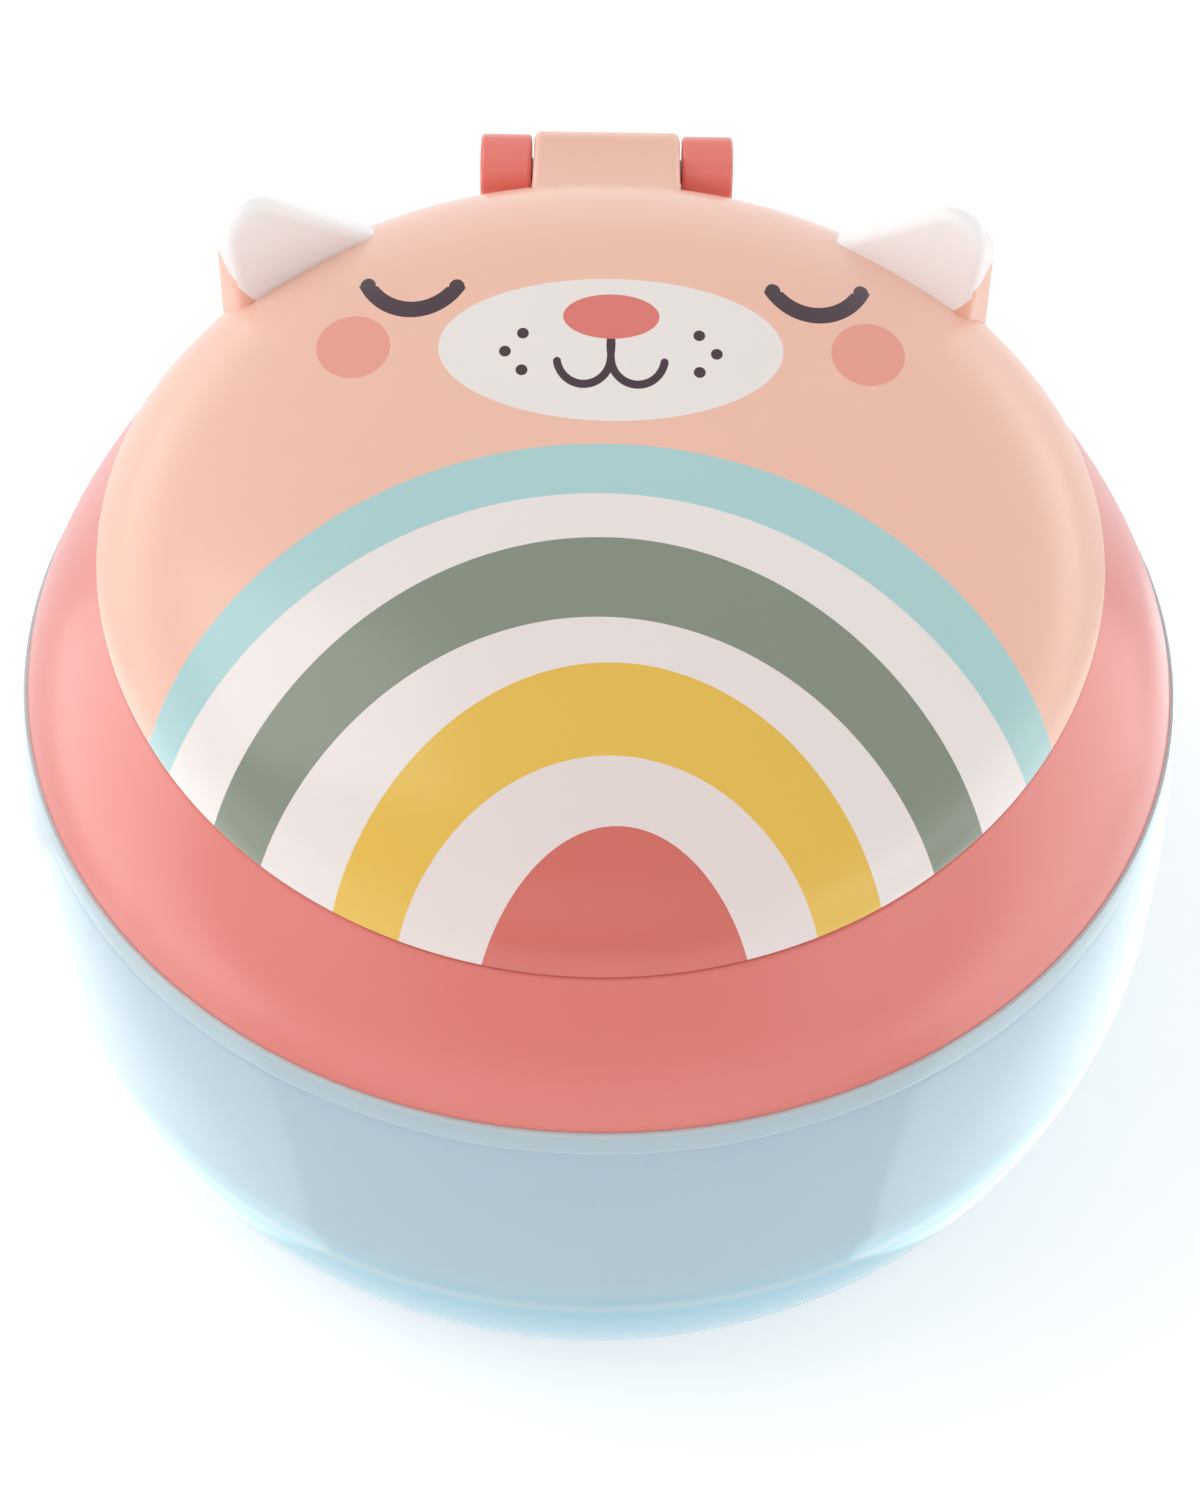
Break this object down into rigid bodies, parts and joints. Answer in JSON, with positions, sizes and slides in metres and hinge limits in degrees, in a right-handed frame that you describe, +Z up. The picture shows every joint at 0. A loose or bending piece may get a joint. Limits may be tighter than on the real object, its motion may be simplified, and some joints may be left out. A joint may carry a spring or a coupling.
{
  "type": "toddler snack container",
  "caption": "Round screw-together snack jar with a clamped ring of soft flaps and a hinged animal-face lid with two ears.",
  "frame": {"origin": "centre of the foot ring, on the surface the container stands on", "axes": "+Z up, +Y to the hinge at the rear, -Y the side with the face, +X to the right of someone who looks at the face"},
  "size_m": [0.114, 0.114, 0.0769],
  "materials": {
    "bowl_plastic": "translucent pale blue polypropylene, satin gloss",
    "collar_plastic": "coral polypropylene, satin gloss",
    "pin_steel": "bright drawn wire",
    "soft_insert": "soft matt elastomer",
    "lid_plastic": "peach polypropylene with a printed front, gloss",
    "ear_plastic": "peach polypropylene, white on the front"
  },
  "bodies": {
    "bowl": {"bowl": "bowl_plastic"},
    "insert": {"flap_ring": "soft_insert"},
    "screw_collar": {"collar": "collar_plastic", "hinge_pin": "pin_steel"},
    "lid": {"lid_shell": "lid_plastic", "ear_left": "ear_plastic", "ear_right": "ear_plastic"},
    "petal_1": {"flap_1": "soft_insert"},
    "petal_2": {"flap_2": "soft_insert"},
    "petal_3": {"flap_3": "soft_insert"},
    "petal_4": {"flap_4": "soft_insert"},
    "petal_5": {"flap_5": "soft_insert"},
    "petal_6": {"flap_6": "soft_insert"}
  },
  "joints": [
    {"name": "collar_lift", "type": "slide", "parent": "bowl", "child": "insert", "axis": [0, 0, 1], "range_m": [0, 0.005]},
    {"name": "collar_turn", "type": "hinge", "parent": "insert", "child": "screw_collar", "pos_m": [0, 0, 0.0455], "axis": [0, 0, 1], "range_deg": [0, 120]},
    {"name": "lid_swing", "type": "hinge", "parent": "screw_collar", "child": "lid", "pos_m": [0, 0.05288, 0.0598], "axis": [-1, 0, 0], "range_deg": [0, 130]},
    {"name": "flap_1_bend", "type": "hinge", "parent": "insert", "child": "petal_1", "pos_m": [0.02883, 0, 0.05329], "axis": [0, 1, 0], "range_deg": [-75, 50], "stiffness_Nm_per_rad": 0.01},
    {"name": "flap_2_bend", "type": "hinge", "parent": "insert", "child": "petal_2", "pos_m": [0.01442, 0.02497, 0.05329], "axis": [-0.866, 0.5, 0], "range_deg": [-75, 50], "stiffness_Nm_per_rad": 0.01},
    {"name": "flap_3_bend", "type": "hinge", "parent": "insert", "child": "petal_3", "pos_m": [-0.01442, 0.02497, 0.05329], "axis": [-0.866, -0.5, 0], "range_deg": [-75, 50], "stiffness_Nm_per_rad": 0.01},
    {"name": "flap_4_bend", "type": "hinge", "parent": "insert", "child": "petal_4", "pos_m": [-0.02883, 0, 0.05329], "axis": [0, -1, 0], "range_deg": [-75, 50], "stiffness_Nm_per_rad": 0.01},
    {"name": "flap_5_bend", "type": "hinge", "parent": "insert", "child": "petal_5", "pos_m": [-0.01442, -0.02497, 0.05329], "axis": [0.866, -0.5, 0], "range_deg": [-75, 50], "stiffness_Nm_per_rad": 0.01},
    {"name": "flap_6_bend", "type": "hinge", "parent": "insert", "child": "petal_6", "pos_m": [0.01442, -0.02497, 0.05329], "axis": [0.866, 0.5, 0], "range_deg": [-75, 50], "stiffness_Nm_per_rad": 0.01}
  ],
  "couplings": [
    {"joint": "collar_lift", "follows": "collar_turn", "m_per_rad": 0.0023873}
  ]
}
